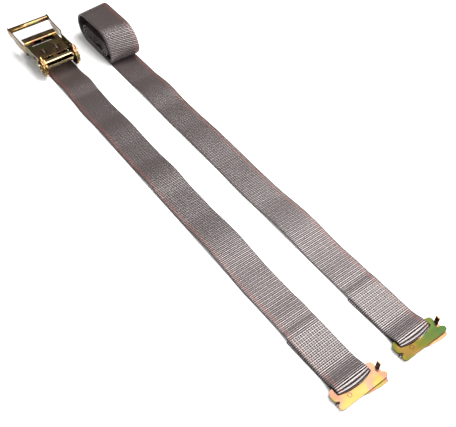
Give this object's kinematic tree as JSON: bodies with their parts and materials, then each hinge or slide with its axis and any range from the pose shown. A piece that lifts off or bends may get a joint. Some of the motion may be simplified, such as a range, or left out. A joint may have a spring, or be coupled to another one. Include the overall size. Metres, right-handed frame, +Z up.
{
  "type": "ratchet strap",
  "caption": "Tie-down strap in two halves: webbing with a closed ratchet buckle, webbing wound in a roll, and a spring fitting on the end of each.",
  "frame": {"origin": "centre of the laid-out strap's footprint, on the surface that it lies on", "axes": "+X along the webbing from the ratchet towards the E-fittings, +Y across from the short half to the long half, +Z up"},
  "size_m": [0.8812, 0.1844, 0.057],
  "materials": {
    "zinc_dark": "dark yellow zinc plating, glossy, darker in the recesses",
    "zinc_bright": "bright yellow zinc plating",
    "zinc_fitting_short": "pale yellow and pink iridescent zinc plating",
    "zinc_fitting_long": "olive green and gold iridescent zinc plating",
    "spring_steel": "drawn spring wire",
    "webbing": "ribbed polyester webbing, warm grey with a thin red tracer along one edge"
  },
  "bodies": {
    "short_strap": {"short_webbing": "webbing"},
    "ratchet_frame": {"frame_channel": "zinc_dark", "frame_pawl_spring": "spring_steel", "anchor_bolt": "zinc_dark", "anchor_nut": "zinc_dark", "anchor_sleeve": "zinc_bright"},
    "frame_pawl": {"frame_pawl": "zinc_dark"},
    "spindle": {"spindle_half_upper": "zinc_bright", "spindle_half_lower": "zinc_bright", "ratchet_wheel_left": "zinc_dark", "ratchet_wheel_right": "zinc_dark", "spindle_washer_left": "zinc_dark", "spindle_washer_right": "zinc_dark", "cotter_pin_left": "zinc_bright", "cotter_pin_right": "zinc_bright"},
    "handle": {"handle_frame": "zinc_dark", "grip_tube": "zinc_dark", "grip_rod": "zinc_bright", "release_spring_left": "spring_steel", "release_spring_right": "spring_steel"},
    "release_pull": {"release_pull": "zinc_dark"},
    "short_fitting": {"short_fitting_plate": "zinc_fitting_short", "short_fitting_rivet": "zinc_fitting_short", "short_fitting_spring": "spring_steel"},
    "short_lever": {"short_fitting_lever": "zinc_fitting_short"},
    "long_strap": {"long_webbing": "webbing", "long_webbing_roll": "webbing"},
    "long_fitting": {"long_fitting_plate": "zinc_fitting_long", "long_fitting_rivet": "zinc_fitting_long", "long_fitting_spring": "spring_steel"},
    "long_lever": {"long_fitting_lever": "zinc_fitting_long"}
  },
  "joints": [
    {"name": "ratchet_swing", "type": "hinge", "parent": "short_strap", "child": "ratchet_frame", "pos_m": [-0.3861, -0.0521, 0.0129], "axis": [0, -1, 0], "range_deg": [0, 90]},
    {"name": "handle_swing", "type": "hinge", "parent": "ratchet_frame", "child": "handle", "pos_m": [-0.3181, -0.0521, 0.022], "axis": [0, 1, 0], "range_deg": [0, 180]},
    {"name": "spindle_spin", "type": "hinge", "parent": "ratchet_frame", "child": "spindle", "pos_m": [-0.3181, -0.0521, 0.022], "axis": [0, 1, 0], "continuous": true},
    {"name": "frame_pawl_slide", "type": "slide", "parent": "ratchet_frame", "child": "frame_pawl", "axis": [-1, 0, 0], "range_m": [0, 0.005], "stiffness_N_per_m": 500, "springref_m": -0.004, "deforming": ["frame_pawl_spring"]},
    {"name": "release_pull_slide", "type": "slide", "parent": "handle", "child": "release_pull", "axis": [-1, 0, 0], "range_m": [0, 0.007], "stiffness_N_per_m": 500, "springref_m": -0.004, "deforming": ["release_spring_left", "release_spring_right"]},
    {"name": "long_strap_slide", "type": "slide", "parent": "short_strap", "child": "long_strap", "axis": [0, 1, 0], "range_m": [0, 0.15]},
    {"name": "short_fitting_swing", "type": "hinge", "parent": "short_strap", "child": "short_fitting", "pos_m": [0.4136, -0.0485, 0.00525], "axis": [0, -1, 0], "range_deg": [-75, 90]},
    {"name": "short_lever_turn", "type": "hinge", "parent": "short_fitting", "child": "short_lever", "pos_m": [0.4271, -0.0655, 0.00215], "axis": [0, 0, 1], "range_deg": [0, 6], "stiffness_Nm_per_rad": 0.15, "springref_deg": -17.19},
    {"name": "long_fitting_swing", "type": "hinge", "parent": "long_strap", "child": "long_fitting", "pos_m": [0.4136, 0.0544, 0.00525], "axis": [0, -1, 0], "range_deg": [-75, 90]},
    {"name": "long_lever_turn", "type": "hinge", "parent": "long_fitting", "child": "long_lever", "pos_m": [0.4271, 0.0374, 0.00215], "axis": [0, 0, 1], "range_deg": [0, 6], "stiffness_Nm_per_rad": 0.15, "springref_deg": -17.19}
  ]
}
